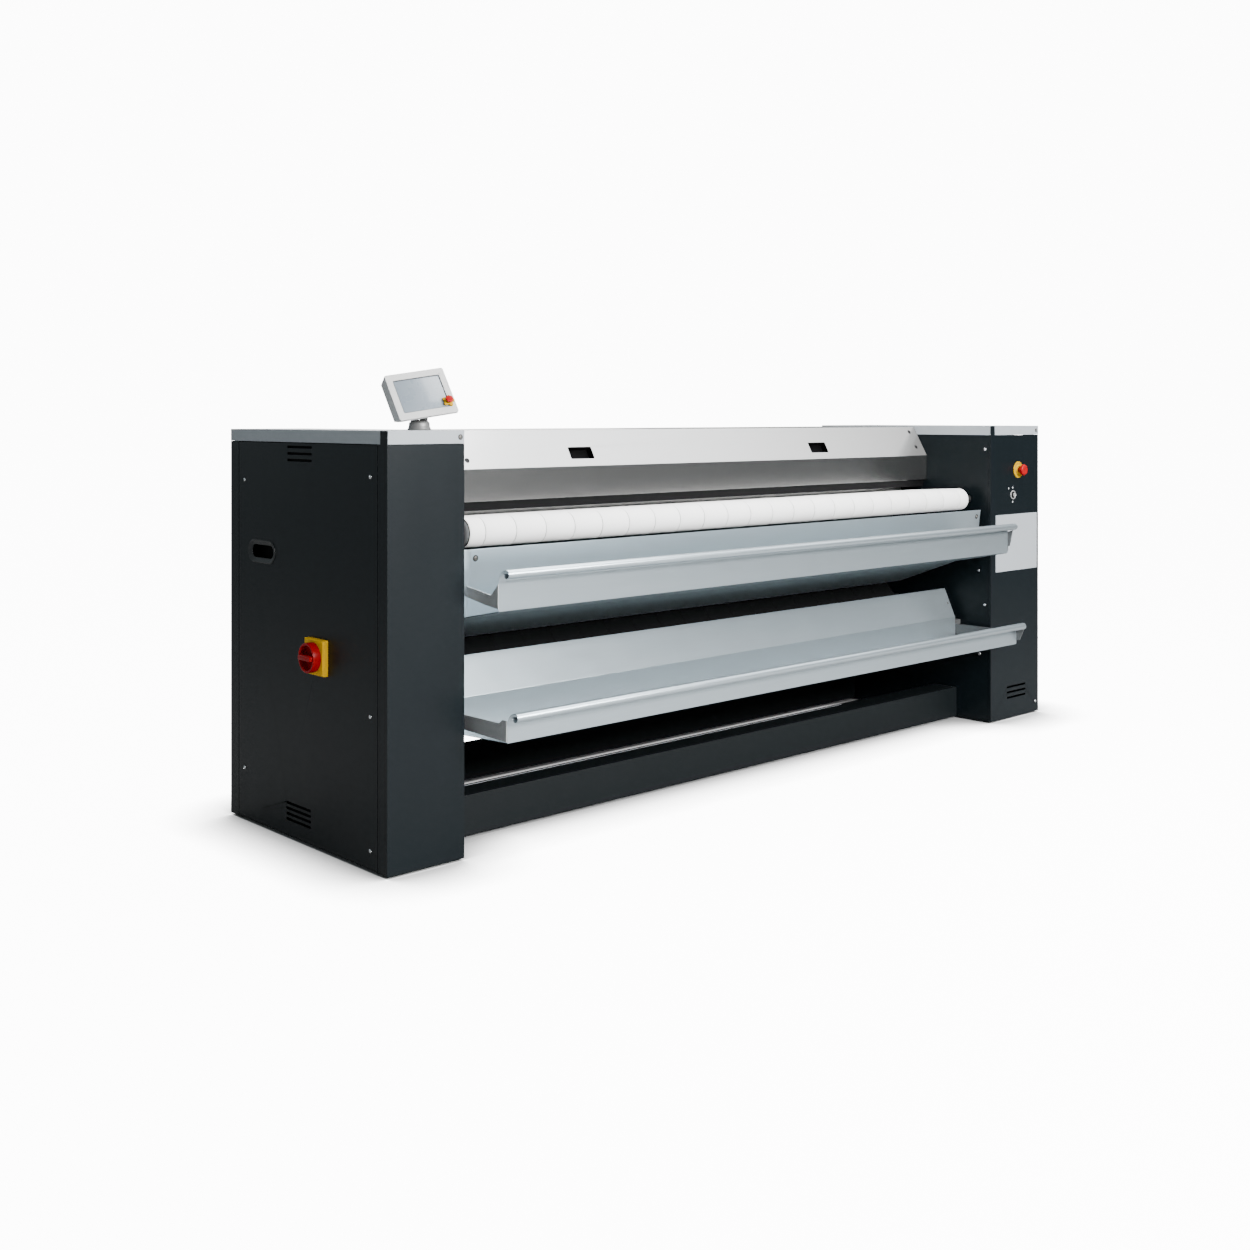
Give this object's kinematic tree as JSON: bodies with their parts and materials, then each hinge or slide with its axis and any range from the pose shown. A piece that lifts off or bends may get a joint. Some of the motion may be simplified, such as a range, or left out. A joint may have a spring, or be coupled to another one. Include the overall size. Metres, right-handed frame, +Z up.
{
  "type": "flatwork ironer",
  "caption": "Floor-standing flatwork ironer: heated cylinder under a hinged hood between two end cabinets, feed bands, two linen trays and a tilting control head.",
  "frame": {"origin": "centre of the footprint's bounding box, on the floor", "axes": "+X along the cylinder to the right as the operator sees it, +Y from the feed side to the back, +Z up"},
  "size_m": [2.905, 0.9955, 1.2159],
  "materials": {
    "cabinet_paint": "satin charcoal powder coat",
    "cap_paint": "satin light grey",
    "hood_steel": "brushed stainless sheet",
    "tray_steel": "satin stainless sheet",
    "frame_paint": "satin dark grey",
    "beam_paint": "satin charcoal",
    "bracket_steel": "satin mid grey",
    "roller_steel": "turned",
    "cylinder_steel": "polished",
    "band_fabric": "woven white",
    "belt_fabric": "woven heat-resistant charcoal",
    "dark_plastic": "matte",
    "dark_panel": "matte charcoal",
    "guard_plastic": "matte",
    "yellow_plastic": "satin yellow",
    "red_plastic": "satin red",
    "head_plastic": "fine light grey",
    "screen": "dark blue-grey display",
    "chrome": "polished",
    "bearing_iron": "machined",
    "bush_brass": "machined",
    "foot_rubber": "matte",
    "motor_paint": "satin",
    "fan_aluminium": "cast",
    "zinc": "galvanised",
    "screw_steel": "bright"
  },
  "bodies": {
    "machine": {"left_frame": "frame_paint", "right_frame": "frame_paint", "front_beam": "beam_paint", "rear_beam": "beam_paint", "left_front_cover": "cabinet_paint", "left_side_panel": "cabinet_paint", "left_grip_cup": "dark_plastic", "left_inner_cover": "cabinet_paint", "left_rear_cover": "cabinet_paint", "left_cap": "cap_paint", "right_front_cover": "cabinet_paint", "right_side_panel": "cabinet_paint", "right_inner_cover": "cabinet_paint", "right_rear_cover": "cabinet_paint", "right_cap": "cap_paint", "front_blank_plate": "cap_paint", "rear_cover": "cabinet_paint", "levelling_feet": "foot_rubber", "cover_screws": "screw_steel", "hood_hinge_pins": "roller_steel", "feed_bands": "band_fabric", "cylinder_bearings": "bearing_iron", "heating_elements": "zinc", "ironing_belts": "belt_fabric", "roller_bearings": "bush_brass", "drive_chains": "roller_steel", "drive_motor": "motor_paint", "exhaust_fan_housing": "zinc", "electrical_plate": "zinc", "cable_gland": "dark_plastic", "upper_tray": "tray_steel", "tray_underside": "dark_panel", "lower_tray": "tray_steel", "tray_brackets": "bracket_steel", "isolator_plate": "yellow_plastic", "isolator_switch": "dark_plastic", "right_estop_ring": "yellow_plastic", "key_switch_bezel": "chrome", "head_pedestal": "head_plastic"},
    "hood": {"hood": "hood_steel", "hood_cheeks": "hood_steel", "hood_grip_cups": "dark_plastic"},
    "finger_guard": {"finger_guard": "guard_plastic"},
    "cylinder": {"cylinder": "cylinder_steel", "cylinder_sprocket": "bearing_iron"},
    "feed_roller": {"feed_roller": "roller_steel"},
    "feed_rear_roller": {"feed_rear_roller": "roller_steel"},
    "belt_entry_roller": {"belt_entry_roller": "roller_steel"},
    "belt_top_roller": {"belt_top_roller": "roller_steel"},
    "belt_tension_roller": {"belt_tension_roller": "roller_steel"},
    "delivery_roller": {"delivery_roller": "dark_panel"},
    "drive_sprocket": {"drive_sprocket": "bearing_iron"},
    "fan_impeller": {"fan_impeller": "fan_aluminium"},
    "isolator_knob": {"isolator_knob": "red_plastic"},
    "key_barrel": {"key_barrel": "chrome"},
    "right_stop_button": {"right_estop_head": "red_plastic"},
    "head_knuckle": {"head_knuckle": "dark_plastic"},
    "control_head": {"head_shell": "head_plastic", "head_screen": "screen", "head_estop_ring": "yellow_plastic"},
    "head_stop_button": {"head_estop_head": "red_plastic"}
  },
  "joints": [
    {"name": "hood_hinge", "type": "hinge", "parent": "machine", "child": "hood", "pos_m": [0, 0.36775, 1.046], "axis": [-1, 0, 0], "range_deg": [0, 70]},
    {"name": "guard_pivot", "type": "hinge", "parent": "machine", "child": "finger_guard", "pos_m": [0, -0.04825, 0.871], "axis": [1, 0, 0], "range_deg": [0, 20]},
    {"name": "cylinder_spin", "type": "hinge", "parent": "machine", "child": "cylinder", "pos_m": [0, 0.17775, 0.828], "axis": [1, 0, 0], "continuous": true},
    {"name": "feed_roller_spin", "type": "hinge", "parent": "machine", "child": "feed_roller", "pos_m": [0, -0.24025, 0.798], "axis": [1, 0, 0], "continuous": true},
    {"name": "feed_rear_roller_spin", "type": "hinge", "parent": "machine", "child": "feed_rear_roller", "pos_m": [0, -0.02025, 0.798], "axis": [1, 0, 0], "continuous": true},
    {"name": "belt_entry_roller_spin", "type": "hinge", "parent": "machine", "child": "belt_entry_roller", "pos_m": [0, 0.0823, 0.99332], "axis": [1, 0, 0], "continuous": true},
    {"name": "belt_top_roller_spin", "type": "hinge", "parent": "machine", "child": "belt_top_roller", "pos_m": [0, 0.33175, 0.955], "axis": [1, 0, 0], "continuous": true},
    {"name": "belt_tension_roller_spin", "type": "hinge", "parent": "machine", "child": "belt_tension_roller", "pos_m": [0, 0.32775, 0.7], "axis": [1, 0, 0], "continuous": true},
    {"name": "delivery_roller_spin", "type": "hinge", "parent": "machine", "child": "delivery_roller", "pos_m": [0, 0.07275, 0.418], "axis": [1, 0, 0], "continuous": true},
    {"name": "drive_sprocket_spin", "type": "hinge", "parent": "machine", "child": "drive_sprocket", "pos_m": [0, 0.17775, 0.3], "axis": [1, 0, 0], "continuous": true},
    {"name": "fan_spin", "type": "hinge", "parent": "machine", "child": "fan_impeller", "pos_m": [1.3025, 0.34775, 0.62], "axis": [0, 1, 0], "continuous": true},
    {"name": "isolator_turn", "type": "hinge", "parent": "machine", "child": "isolator_knob", "pos_m": [-1.4225, -0.02325, 0.49], "axis": [-1, 0, 0], "range_deg": [0, 90]},
    {"name": "key_turn", "type": "hinge", "parent": "machine", "child": "key_barrel", "pos_m": [1.2815, -0.32225, 0.81], "axis": [0, -1, 0], "range_deg": [0, 90]},
    {"name": "right_stop_press", "type": "slide", "parent": "machine", "child": "right_stop_button", "axis": [0, 1, 0], "range_m": [0, 0.004], "stiffness_N_per_m": 1500, "springref_m": -0.002},
    {"name": "head_tilt", "type": "hinge", "parent": "machine", "child": "head_knuckle", "pos_m": [-1.2525, -0.24725, 1.097], "axis": [-1, 0, 0], "range_deg": [-13, 12]},
    {"name": "head_swivel", "type": "hinge", "parent": "head_knuckle", "child": "control_head", "pos_m": [-1.2525, -0.24725, 1.097], "axis": [0, 0.5446, 0.8387], "range_deg": [-12, 35]},
    {"name": "head_stop_press", "type": "slide", "parent": "control_head", "child": "head_stop_button", "axis": [0.2756, 0.8062, -0.5235], "range_m": [0, 0.004], "stiffness_N_per_m": 800, "springref_m": -0.002}
  ],
  "couplings": [
    {"joint": "feed_roller_spin", "follows": "cylinder_spin", "ratio": 4.5139},
    {"joint": "feed_rear_roller_spin", "follows": "cylinder_spin", "ratio": 7.0652},
    {"joint": "belt_entry_roller_spin", "follows": "cylinder_spin", "ratio": -6.5},
    {"joint": "belt_top_roller_spin", "follows": "cylinder_spin", "ratio": -7.3864},
    {"joint": "belt_tension_roller_spin", "follows": "cylinder_spin", "ratio": -7.3864},
    {"joint": "delivery_roller_spin", "follows": "cylinder_spin", "ratio": -5.4167},
    {"joint": "drive_sprocket_spin", "follows": "cylinder_spin", "ratio": 2.25}
  ]
}
